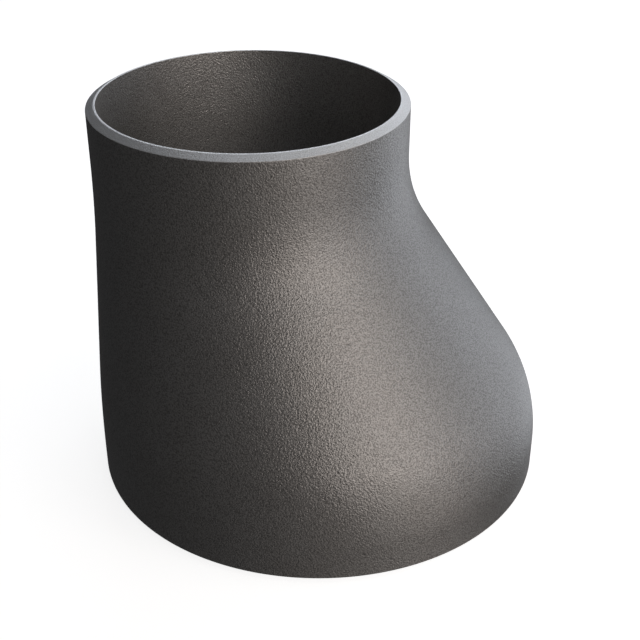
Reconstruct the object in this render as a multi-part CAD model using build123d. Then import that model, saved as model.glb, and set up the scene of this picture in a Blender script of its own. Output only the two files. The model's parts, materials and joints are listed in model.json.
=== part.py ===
from build123d import *
import math
import os

# Eccentric butt-weld reducer, DN 150 x DN 100 (NPS 6 x 4), seamless steel.
#
# The large end stands on the XY plane with its centre at the origin, and +Z runs towards the small
# end. The straight side of the reducer is at -X and the sloping side at +X. Every horizontal section
# of the wall is a pair of circles, so the whole body follows from two outlines in the XZ plane: the
# straight side and the S-shaped sloping side.

# Driving dimensions, in millimetres and degrees.
LARGE_DIAMETER = 168.3
SMALL_DIAMETER = 114.3
LENGTH = 140.0
LARGE_WALL = 4.5
SMALL_WALL = 3.6
LARGE_TANGENT = 13.0
SMALL_TANGENT = 20.0
SHOULDER_RADIUS = 49.5
NECK_RADIUS = 50.0
BEVEL_ANGLE = 30.0
ROOT_FACE = 0.8
SECTION_COUNT = 25

large_radius = LARGE_DIAMETER / 2
small_radius = SMALL_DIAMETER / 2
cone_bottom = LARGE_TANGENT
cone_top = LENGTH - SMALL_TANGENT


def sloping_side(height, x_low, x_high, shoulder, neck):
    """The x of the sloping side: shoulder arc, straight run and neck arc, all tangent."""
    inset = x_low - x_high
    rise = cone_top - cone_bottom
    radii = shoulder + neck
    straight = math.sqrt(rise**2 + inset**2 - 2 * radii * inset)
    lean = math.atan2(rise, radii - inset) - math.atan2(straight, radii)
    shoulder_end = cone_bottom + shoulder * math.sin(lean)
    neck_start = cone_top - neck * math.sin(lean)
    if height < shoulder_end:
        return x_low - shoulder + math.sqrt(shoulder**2 - (height - cone_bottom) ** 2)
    if height > neck_start:
        return x_high + neck - math.sqrt(neck**2 - (cone_top - height) ** 2)
    straight_start = x_low - shoulder * (1 - math.cos(lean))
    return straight_start - (height - shoulder_end) * math.tan(lean)


def cone_section(height, large_wall, small_wall):
    """The circle of the cone at a height, moved in from the outer skin by the local wall."""
    share = (height - cone_bottom) / (cone_top - cone_bottom)
    straight_x = -large_radius + large_wall + share * (small_wall - large_wall)
    sloping_x = sloping_side(
        height,
        large_radius - large_wall,
        2 * small_radius - large_radius - small_wall,
        SHOULDER_RADIUS - large_wall,
        NECK_RADIUS + small_wall,
    )
    centre_x = (straight_x + sloping_x) / 2
    radius = (sloping_x - straight_x) / 2
    return Plane(origin=(centre_x, 0, height)) * Circle(radius)


def tangent(radius, centre_x, bottom, top):
    """A straight cylindrical length between two heights."""
    base = Plane(origin=(centre_x, 0, bottom)) * Circle(radius)
    return extrude(base, amount=top - bottom)


def skin(large_wall, small_wall, overrun):
    """The solid inside one skin of the wall. The overrun lengthens both ends past the end faces."""
    small_centre = small_radius - large_radius
    heights = [
        cone_bottom + (cone_top - cone_bottom) * step / (SECTION_COUNT - 1)
        for step in range(SECTION_COUNT)
    ]
    cone = loft([cone_section(height, large_wall, small_wall) for height in heights])
    large_end = tangent(large_radius - large_wall, 0, -overrun, cone_bottom)
    small_end = tangent(small_radius - small_wall, small_centre, cone_top, LENGTH + overrun)
    return large_end + cone + small_end


def bevel_end(solid, end_face, wall):
    """Turns a weld bevel on the outer edge of an end face and leaves the root face."""
    outer_edge = end_face.outer_wire().edges()
    return chamfer(outer_edge, length=wall - ROOT_FACE, angle=BEVEL_ANGLE, reference=end_face)


def reducer_body():
    """The seamless wall, open at both ends, with both ends bevelled for welding."""
    wall = skin(0, 0, overrun=0) - skin(LARGE_WALL, SMALL_WALL, overrun=1)
    wall = bevel_end(wall, wall.faces().sort_by(Axis.Z)[0], LARGE_WALL)
    wall = bevel_end(wall, wall.faces().sort_by(Axis.Z)[-1], SMALL_WALL)
    return wall


os.makedirs("parts", exist_ok=True)
body = reducer_body()
body.label = "reducer_body"
export_step(body, "parts/reducer_body.step")
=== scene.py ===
import json
import math

import bpy
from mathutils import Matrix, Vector, noise


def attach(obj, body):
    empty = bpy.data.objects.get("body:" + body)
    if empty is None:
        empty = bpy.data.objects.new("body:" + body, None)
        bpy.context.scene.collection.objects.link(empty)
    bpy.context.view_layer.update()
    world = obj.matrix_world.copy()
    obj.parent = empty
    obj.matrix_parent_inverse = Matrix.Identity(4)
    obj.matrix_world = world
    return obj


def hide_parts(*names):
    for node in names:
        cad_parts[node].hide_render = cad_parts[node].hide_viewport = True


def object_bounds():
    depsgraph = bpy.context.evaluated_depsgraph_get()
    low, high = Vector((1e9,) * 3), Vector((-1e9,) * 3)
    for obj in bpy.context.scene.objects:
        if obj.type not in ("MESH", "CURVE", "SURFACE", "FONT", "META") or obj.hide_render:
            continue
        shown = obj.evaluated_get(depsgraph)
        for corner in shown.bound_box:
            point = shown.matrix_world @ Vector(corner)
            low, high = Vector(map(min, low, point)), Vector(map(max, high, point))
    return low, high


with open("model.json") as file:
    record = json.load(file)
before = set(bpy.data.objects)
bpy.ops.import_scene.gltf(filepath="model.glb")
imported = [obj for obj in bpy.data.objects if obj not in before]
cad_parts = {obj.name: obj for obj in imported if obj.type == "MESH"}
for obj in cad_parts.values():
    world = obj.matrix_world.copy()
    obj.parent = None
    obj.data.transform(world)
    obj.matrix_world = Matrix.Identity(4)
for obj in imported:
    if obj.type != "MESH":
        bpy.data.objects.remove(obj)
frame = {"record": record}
cad_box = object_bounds()

MM = 0.001
mounts = {mount["name"]: mount for mount in frame["record"]["mounts"]}

# The fitting's driving sizes, from the frame. All lengths are in metres.
LENGTH = cad_box[1].z - cad_box[0].z
LARGE_RADIUS = mounts["large_end_outside"]["dims"]["r_mm"] * MM
SMALL_RADIUS = mounts["small_end_outside"]["dims"]["r_mm"] * MM
LARGE_WALL = LARGE_RADIUS - mounts["large_end_bore"]["dims"]["r_mm"] * MM
SMALL_WALL = SMALL_RADIUS - mounts["small_end_bore"]["dims"]["r_mm"] * MM
LARGE_TANGENT = mounts["large_end_bore"]["dims"]["length_mm"] * MM
SMALL_TANGENT = mounts["small_end_bore"]["dims"]["length_mm"] * MM
SMALL_CENTRE = SMALL_RADIUS - LARGE_RADIUS
CONE_BOTTOM = LARGE_TANGENT
CONE_TOP = LENGTH - SMALL_TANGENT

# Sizes that the frame doesn't state, the same as in the CAD model.
SHOULDER_RADIUS = 49.5 * MM
NECK_RADIUS = 50.0 * MM
BEVEL_ANGLE = math.radians(30)
ROOT_FACE = 0.8 * MM

# The mesh: how finely the wall is divided, and how far its sharp edges are broken and rounded.
AROUND = 384
ROW_STEP = 1.5 * MM
EDGE_BREAK = 0.18 * MM
EDGE_ROUNDING = 0.12
BEVEL_ROW_SHARES = (0.35, 0.65)

# The faint unevenness of a hot-formed skin, which fades out near the machined ends.
RELIEF_HEIGHT = 0.04 * MM
RELIEF_SIZE = 16 * MM
RELIEF_FADE = 6 * MM
FINE_RELIEF_SHARE = 0.3
FINE_RELIEF_SIZE = RELIEF_SIZE / 3
FINE_RELIEF_OFFSET = Vector((7, 3, 5))

# The blasted skin: the sizes of its marks, and how deep they are.
DIMPLE_SIZE = 0.78 * MM
GRIT_SIZE = 0.50 * MM
SWELL_SIZE = 4 * MM
PIT_SPACING = 3.6 * MM
PIT_PATCH_SIZE = 7 * MM
MOTTLE_SIZE = 22 * MM
BLAST_DEPTH = 0.155 * MM

# The machined weld bevels: turning marks, a fine sandy dullness and patches of tool chatter.
TURNING_PITCH = 0.30 * MM
SAND_SIZE = 0.45 * MM
CHATTER_PITCH = 0.7 * MM
CHATTER_PATCH_SIZE = 30 * MM
TURNING_DEPTH = 0.05 * MM

# The camera, around a point on the large end's axis.
CAMERA_AZIMUTH = math.radians(24.4)
CAMERA_ELEVATION = math.radians(30.0)
CAMERA_DISTANCE = 5.296 * LARGE_RADIUS
CAMERA_AIM = 0.657 * LARGE_RADIUS
CAMERA_ASIDE = 0.006 * LARGE_RADIUS
CAMERA_LENS = 65.9
CAMERA_SENSOR = 36

# The floor and the backdrop, both pale. The floor lies just under the fitting.
FLOOR_HALF_WIDTH = 12.0
FLOOR_DROP = 0.05 * MM
FLOOR_PAINT = 0.55
FLOOR_GLOW = 0.84
BACKDROP_GREY = 0.87

# The light: a dim grey room, softboxes round the fitting, and a spot through its mouth.
# Each softbox has a name, azimuth, elevation, width, height, power in watts and colour.
ROOM_COLOUR = (0.050, 0.050, 0.051, 1)
WARM = (1.0, 0.90, 0.83)
SOFT_WARM = (1.0, 0.97, 0.93)
COOL = (0.89, 0.93, 1.0)
LIGHT_DISTANCE = 0.8
LIGHTS = [
    ("key", 66, 19, 0.75, 0.45, 2.35, WARM),
    ("low_fill", 74, -21, 0.45, 0.45, 0.54, WARM),
    ("floor_bounce", 38, -38, 0.60, 0.60, 0.16, WARM),
    ("high_fill", 100, 50, 0.45, 0.45, 0.77, SOFT_WARM),
    ("side_fill", 118, -5, 0.60, 0.45, 0.40, COOL),
    ("right_sheen", 132, 8, 0.80, 0.45, 0.55, COOL),
    ("edge_sheen", 154, -18, 0.45, 0.40, 0.64, COOL),
    ("upper_sheen", 146, 26, 0.50, 0.40, 0.55, COOL),
    ("back", 172, 18, 0.45, 0.45, 0.50, COOL),
    ("back_upper", -160, 42, 0.60, 0.60, 1.75, COOL),
    ("overhead", 0, 88, 0.45, 0.45, 0.36, COOL),
]
SPOT_AZIMUTH = math.radians(50)
SPOT_ELEVATION = math.radians(30)
SPOT_SPREAD = math.radians(6)
SPOT_POWER = 8.0
SPOT_RADIUS = 0.01
SPOT_DEPTH = 15 * MM


# ---------------------------------------------------------------- the wall's shape

def sloping_side(height, x_low, x_high, shoulder, neck):
    """The x of the sloping side: shoulder arc, straight run and neck arc, all tangent."""
    if height <= CONE_BOTTOM:
        return x_low
    if height >= CONE_TOP:
        return x_high
    inset = x_low - x_high
    rise = CONE_TOP - CONE_BOTTOM
    radii = shoulder + neck
    straight = math.sqrt(rise**2 + inset**2 - 2 * radii * inset)
    lean = math.atan2(rise, radii - inset) - math.atan2(straight, radii)
    shoulder_end = CONE_BOTTOM + shoulder * math.sin(lean)
    neck_start = CONE_TOP - neck * math.sin(lean)
    if height < shoulder_end:
        return x_low - shoulder + math.sqrt(shoulder**2 - (height - CONE_BOTTOM) ** 2)
    if height > neck_start:
        return x_high + neck - math.sqrt(neck**2 - (CONE_TOP - height) ** 2)
    straight_start = x_low - shoulder * (1 - math.cos(lean))
    return straight_start - (height - shoulder_end) * math.tan(lean)


def ring(height, large_wall, small_wall):
    """A skin's circle at a height, as (centre x, radius, height), moved in by the local wall."""
    share = min(max((height - CONE_BOTTOM) / (CONE_TOP - CONE_BOTTOM), 0), 1)
    straight_x = -LARGE_RADIUS + large_wall + share * (small_wall - large_wall)
    sloping_x = sloping_side(
        height,
        LARGE_RADIUS - large_wall,
        2 * SMALL_RADIUS - LARGE_RADIUS - small_wall,
        SHOULDER_RADIUS - large_wall,
        NECK_RADIUS + small_wall,
    )
    return Vector(((straight_x + sloping_x) / 2, (sloping_x - straight_x) / 2, height))


def towards(start, end, distance):
    """The point at a distance from start on the way to end."""
    return start + (end - start).normalized() * distance


def broken_edge(before, corner, after):
    """Rows round a corner whose sharp edge is taken off, with a row close by on each side."""
    first = towards(corner, before, EDGE_BREAK)
    last = towards(corner, after, EDGE_BREAK)
    middle = (first + 2 * corner + last) / 4
    return [
        towards(corner, before, 2 * EDGE_BREAK),
        first,
        (first + middle) / 2 + (corner - middle) * EDGE_ROUNDING,
        middle,
        (last + middle) / 2 + (corner - middle) * EDGE_ROUNDING,
        last,
        towards(corner, after, 2 * EDGE_BREAK),
    ]


def run(start, end, large_wall, small_wall):
    """Rows of a skin strictly between two heights, evenly spaced."""
    count = round(abs(end - start) / ROW_STEP)
    steps = [start + (end - start) * step / count for step in range(1, count)]
    return [ring(height, large_wall, small_wall) for height in steps]


def wall_rows():
    """Every row of the closed wall in order, as (ring, is machined)."""
    rise = math.tan(BEVEL_ANGLE)
    large_bevel = (LARGE_WALL - ROOT_FACE) * rise
    small_bevel = (SMALL_WALL - ROOT_FACE) * rise
    large_outer = Vector((0, LARGE_RADIUS, large_bevel))
    small_outer = Vector((SMALL_CENTRE, SMALL_RADIUS, LENGTH - small_bevel))
    small_root = Vector((SMALL_CENTRE, SMALL_RADIUS - SMALL_WALL + ROOT_FACE, LENGTH))
    small_lip = Vector((SMALL_CENTRE, SMALL_RADIUS - SMALL_WALL, LENGTH))
    large_lip = Vector((0, LARGE_RADIUS - LARGE_WALL, 0))
    large_root = Vector((0, LARGE_RADIUS - LARGE_WALL + ROOT_FACE, 0))
    corners = [large_outer, small_outer, small_root, small_lip, large_lip, large_root]

    # The skin's rows that follow each corner. Where there are none, a machined face follows it.
    outside = run(large_bevel, LENGTH - small_bevel, 0, 0)
    inside = run(LENGTH, 0, LARGE_WALL, SMALL_WALL)
    skins = [outside, [], [], inside, [], []]
    rows = []
    for index, corner in enumerate(corners):
        arriving = skins[index - 1]
        leaving = skins[index]
        before = arriving[-1] if arriving else corners[index - 1]
        after = leaving[0] if leaving else corners[(index + 1) % len(corners)]
        flags = [not arriving] * 3 + [True] + [not leaving] * 3
        rows += list(zip(broken_edge(before, corner, after), flags))
        rows += [(row, False) for row in leaving]
        if not leaving and (after - corner).length > ROW_STEP:
            rows += [(corner.lerp(after, share), True) for share in BEVEL_ROW_SHARES]
    return rows


def relief(point):
    """How far a hot-formed skin stands off its true shape at a point."""
    broad = noise.noise(point / RELIEF_SIZE)
    fine = noise.noise(point / FINE_RELIEF_SIZE + FINE_RELIEF_OFFSET)
    return RELIEF_HEIGHT * ((1 - FINE_RELIEF_SHARE) * broad + FINE_RELIEF_SHARE * fine)


def wall_mesh():
    """The whole fitting as one closed mesh, with UVs in metres round and along the wall."""
    rows = wall_rows()
    vertices = []
    for index, (row, machined) in enumerate(rows):
        following = rows[(index + 1) % len(rows)][0]
        previous = rows[index - 1][0]
        along = following - previous
        out = Vector((0, along.z, -along.y)).normalized()
        near_edge = min(
            abs(row.z - other.z) + abs(row.y - other.y) for other, flag in rows if flag
        )
        share = 0 if machined else min(near_edge / RELIEF_FADE, 1)
        for step in range(AROUND):
            angle = math.tau * step / AROUND
            cosine = math.cos(angle)
            sine = math.sin(angle)
            point = Vector((row.x + row.y * cosine, row.y * sine, row.z))
            if share > 0:
                lift = relief(point) * share
                point += Vector((cosine * out.y, sine * out.y, out.z)) * lift
            vertices.append(point)
    faces = []
    slots = []
    for index, (row, machined) in enumerate(rows):
        next_index = (index + 1) % len(rows)
        for step in range(AROUND):
            next_step = (step + 1) % AROUND
            faces.append(
                (
                    index * AROUND + step,
                    index * AROUND + next_step,
                    next_index * AROUND + next_step,
                    next_index * AROUND + step,
                )
            )
            slots.append(1 if machined and rows[next_index][1] else 0)
    mesh = bpy.data.meshes.new("reducer_wall")
    mesh.from_pydata(vertices, [], faces)
    mesh.polygons.foreach_set("material_index", slots)
    mesh.shade_smooth()
    map_wall(mesh, rows)
    mesh.validate()
    return mesh


def map_wall(mesh, rows):
    """UVs: u is the distance round the small end, v the distance along the wall's section."""
    layer = mesh.uv_layers.new(name="wall")
    along = [0.0]
    for index in range(len(rows)):
        following = rows[(index + 1) % len(rows)][0]
        along.append(along[-1] + (following - rows[index][0]).length)
    width = math.tau * SMALL_RADIUS / AROUND
    coordinates = []
    for index in range(len(rows)):
        for step in range(AROUND):
            low, high = along[index], along[index + 1]
            left, right = step * width, (step + 1) * width
            coordinates += [left, low, right, low, right, high, left, high]
    layer.data.foreach_set("uv", coordinates)


# ---------------------------------------------------------------- materials

class Nodes:
    """A short way to write a node tree: each call makes a node and links or sets its inputs."""

    def __init__(self, tree):
        self.tree = tree
        self.tree.nodes.clear()

    def add(self, kind, settings=None, **inputs):
        """A node of a kind. An input is given by its name, or by its number as _0, _1 and so on."""
        node = self.tree.nodes.new(kind)
        for name, value in (settings or {}).items():
            setattr(node, name, value)
        for name, value in inputs.items():
            socket = node.inputs[int(name[1:])] if name[1:].isdigit() else node.inputs[name]
            if isinstance(value, bpy.types.NodeSocket):
                self.tree.links.new(value, socket)
            else:
                socket.default_value = value
        return node

    def noise(self, place, size, detail=1.0, roughness=0.5):
        """Soft noise with blobs of about a size."""
        node = self.add(
            "ShaderNodeTexNoise",
            Vector=place,
            Scale=1 / size,
            Detail=detail,
            Roughness=roughness,
        )
        return node.outputs[0]

    def cells(self, place, size):
        """The distance to the nearest of many points, a size apart."""
        node = self.add("ShaderNodeTexVoronoi", Vector=place, Scale=1 / size)
        return node.outputs["Distance"]

    def soft_cells(self, place, size, smoothness):
        """The same as cells, with the creases between the cells rounded."""
        settings = {"feature": "SMOOTH_F1"}
        node = self.add("ShaderNodeTexVoronoi", settings, Vector=place, Scale=1 / size)
        node.inputs["Smoothness"].default_value = smoothness
        return node.outputs["Distance"]

    def remap(self, value, low, high, new_low=0.0, new_high=1.0):
        """A value eased from one range to another."""
        node = self.add(
            "ShaderNodeMapRange",
            {"interpolation_type": "SMOOTHSTEP"},
            _0=value,
            _1=low,
            _2=high,
            _3=new_low,
            _4=new_high,
        )
        return node.outputs[0]

    def math(self, operation, first, second):
        return self.add("ShaderNodeMath", {"operation": operation}, _0=first, _1=second).outputs[0]

    def blend(self, share, first, second):
        """The first colour where share is 0 and the second where it is 1."""
        node = self.add("ShaderNodeMix", {"data_type": "RGBA"}, _0=share, _6=first, _7=second)
        return node.outputs[2]

    def metal(self, colour, rough, metallic, bump):
        """The finished surface: a principled shader, and the material's output."""
        inputs = {"Base Color": colour, "Roughness": rough, "Metallic": metallic}
        shader = self.add("ShaderNodeBsdfPrincipled", Normal=bump.outputs[0], **inputs)
        self.add("ShaderNodeOutputMaterial", Surface=shader.outputs[0])


def grey(value, warmth=0.0):
    """A near-neutral colour; positive warmth leans it to brown."""
    return (value * (1 + warmth), value, value * (1 - warmth), 1)


def blasted_steel():
    """Shot-blasted hot-formed carbon steel: fine dimples, scattered pits, brown-grey mottling, and
    painted shade in the grit's low spots.
    """
    material = bpy.data.materials.new("blasted_steel")
    material.use_nodes = True
    nodes = Nodes(material.node_tree)
    place = nodes.add("ShaderNodeTexCoord").outputs["Object"]

    dimples = nodes.soft_cells(place, DIMPLE_SIZE, smoothness=0.3)
    grit = nodes.noise(place, GRIT_SIZE)
    swell = nodes.noise(place, SWELL_SIZE)
    pits = nodes.math(
        "MULTIPLY",
        nodes.remap(nodes.cells(place, PIT_SPACING), 0.06, 0.16, 1, 0),
        nodes.remap(nodes.noise(place, PIT_PATCH_SIZE), 0.54, 0.64),
    )

    height = nodes.math("ADD", nodes.math("MULTIPLY", dimples, 0.6), grit)
    height = nodes.math("ADD", height, nodes.math("MULTIPLY", swell, 0.25))
    height = nodes.math("SUBTRACT", height, nodes.math("MULTIPLY", pits, 0.7))
    bump = nodes.add("ShaderNodeBump", Strength=1.0, Distance=BLAST_DEPTH, Height=height)

    mottle = nodes.noise(place, MOTTLE_SIZE, detail=3, roughness=0.55)
    colour = nodes.blend(nodes.remap(mottle, 0.3, 0.7), grey(0.345, 0.01), grey(0.365))
    # Painted shade: the grit's low spots are darkened in the colour, standing in for the shadowing
    # of the grain itself.
    colour = nodes.blend(nodes.remap(grit, 0.58, 0.36, 0.0, 0.6), colour, grey(0.12, 0.03))
    colour = nodes.blend(nodes.math("MULTIPLY", pits, 0.5), colour, grey(0.12, 0.05))
    rough = nodes.remap(mottle, 0.3, 0.7, 0.42, 0.45)
    nodes.metal(colour, rough, 0.75, bump)
    return material


def machined_steel():
    """The weld bevels: turned steel, dulled to a fine sandy grey, with a little chatter."""
    material = bpy.data.materials.new("machined_bevel")
    material.use_nodes = True
    nodes = Nodes(material.node_tree)
    place = nodes.add("ShaderNodeUVMap", {"uv_map": "wall"}).outputs[0]
    along = nodes.add("ShaderNodeMapping", Vector=place, Scale=(0.03, 1, 1)).outputs[0]
    across = nodes.add("ShaderNodeMapping", Vector=place, Scale=(1, 0.12, 1)).outputs[0]

    turning = nodes.noise(along, TURNING_PITCH, detail=2, roughness=0.6)
    sand = nodes.noise(place, SAND_SIZE)
    chatter = nodes.noise(across, CHATTER_PITCH)
    patches = nodes.remap(nodes.noise(place, CHATTER_PATCH_SIZE), 0.42, 0.58)
    height = nodes.math("ADD", turning, nodes.math("MULTIPLY", sand, 1.5))
    height = nodes.math("ADD", height, nodes.math("MULTIPLY", chatter, patches))
    bump = nodes.add("ShaderNodeBump", Strength=1.0, Distance=TURNING_DEPTH, Height=height)

    colour = nodes.blend(nodes.remap(sand, 0.3, 0.7), grey(0.64), grey(0.78, -0.01))
    rough = nodes.remap(turning, 0.3, 0.7, 0.52, 0.58)
    nodes.metal(colour, rough, 0.95, bump)
    return material


# ---------------------------------------------------------------- the studio

def direction(azimuth, elevation):
    """The unit vector from the object towards an azimuth and elevation, in radians."""
    flat = math.cos(elevation)
    return Vector((math.sin(azimuth) * flat, -math.cos(azimuth) * flat, math.sin(elevation)))


def hang(light, target, way):
    """Puts a light at LIGHT_DISTANCE from a target, on the side that way points to, facing it."""
    lamp = bpy.data.objects.new(light.name, light)
    bpy.context.scene.collection.objects.link(lamp)
    lamp.location = target + way * LIGHT_DISTANCE
    lamp.rotation_mode = "QUATERNION"
    lamp.rotation_quaternion = way.to_track_quat("Z", "Y")
    return lamp


def softbox(name, azimuth, elevation, width, height, power, colour):
    """A rectangular studio light that faces the middle of the fitting. Angles are in degrees."""
    light = bpy.data.lights.new(name, "AREA")
    light.shape = "RECTANGLE"
    light.size = width
    light.size_y = height
    light.energy = power
    light.color = colour
    way = direction(math.radians(azimuth), math.radians(elevation))
    hang(light, Vector((0, 0, LENGTH / 2)), way).visible_camera = False


def mouth_spot():
    """A narrow beam through the small end onto the far wall inside."""
    light = bpy.data.lights.new("mouth_spot", "SPOT")
    light.spot_size = SPOT_SPREAD
    light.spot_blend = 1.0
    light.shadow_soft_size = SPOT_RADIUS
    light.energy = SPOT_POWER
    light.color = WARM
    across = direction(SPOT_AZIMUTH, 0)
    target = Vector((SMALL_CENTRE, 0, LENGTH - SPOT_DEPTH)) - across * (SMALL_RADIUS - SMALL_WALL)
    hang(light, target, direction(SPOT_AZIMUTH, SPOT_ELEVATION))


def floor():
    """A wide pale floor under the fitting, which light from low cards passes through."""
    half = FLOOR_HALF_WIDTH
    mesh = bpy.data.meshes.new("floor")
    corners = [(-half, -half, 0), (half, -half, 0), (half, half, 0), (-half, half, 0)]
    mesh.from_pydata(corners, [], [(0, 1, 2, 3)])
    plane = bpy.data.objects.new("floor", mesh)
    plane.location.z = -FLOOR_DROP
    bpy.context.scene.collection.objects.link(plane)
    material = bpy.data.materials.new("pale_floor")
    material.use_nodes = True
    nodes = Nodes(material.node_tree)
    paint = nodes.add("ShaderNodeBsdfDiffuse", Color=grey(FLOOR_PAINT))
    glow = nodes.add("ShaderNodeEmission", Color=grey(1.0), Strength=FLOOR_GLOW)
    both = nodes.add("ShaderNodeAddShader", _0=paint.outputs[0], _1=glow.outputs[0])
    nodes.add("ShaderNodeOutputMaterial", Surface=both.outputs[0])
    mesh.materials.append(material)
    plane.visible_diffuse = False
    plane.visible_glossy = False
    plane.visible_shadow = False


def surroundings():
    """A pale backdrop behind everything, and a dim grey room for the metal to reflect."""
    world = bpy.data.worlds.new("studio")
    world.use_nodes = True
    bpy.context.scene.world = world
    nodes = Nodes(world.node_tree)
    seen = nodes.add("ShaderNodeLightPath").outputs["Is Camera Ray"]
    room = nodes.add("ShaderNodeBackground", Color=ROOM_COLOUR, Strength=1.0)
    backdrop = nodes.add("ShaderNodeBackground", Color=grey(BACKDROP_GREY), Strength=1.0)
    mixed = nodes.add("ShaderNodeMixShader", _0=seen, _1=room.outputs[0], _2=backdrop.outputs[0])
    nodes.add("ShaderNodeOutputWorld", Surface=mixed.outputs[0])


def camera():
    """The camera, level, aimed at a point on the large end's axis."""
    data = bpy.data.cameras.new("camera")
    data.lens = CAMERA_LENS
    data.sensor_width = CAMERA_SENSOR
    view = bpy.data.objects.new("camera", data)
    bpy.context.scene.collection.objects.link(view)
    back = direction(CAMERA_AZIMUTH, CAMERA_ELEVATION)
    right = Vector((math.cos(CAMERA_AZIMUTH), math.sin(CAMERA_AZIMUTH), 0))
    view.location = Vector((0, 0, CAMERA_AIM)) + back * CAMERA_DISTANCE + right * CAMERA_ASIDE
    view.rotation_mode = "QUATERNION"
    view.rotation_quaternion = back.to_track_quat("Z", "Y")
    bpy.context.scene.camera = view


# ---------------------------------------------------------------- the scene

wall = bpy.data.objects.new("reducer_wall", wall_mesh())
bpy.context.scene.collection.objects.link(wall)
wall.data.materials.append(blasted_steel())
wall.data.materials.append(machined_steel())
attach(wall, "root")
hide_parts("reducer_body")

floor()
surroundings()
camera()
for settings in LIGHTS:
    softbox(*settings)
mouth_spot()
bpy.context.scene.view_settings.view_transform = "Standard"
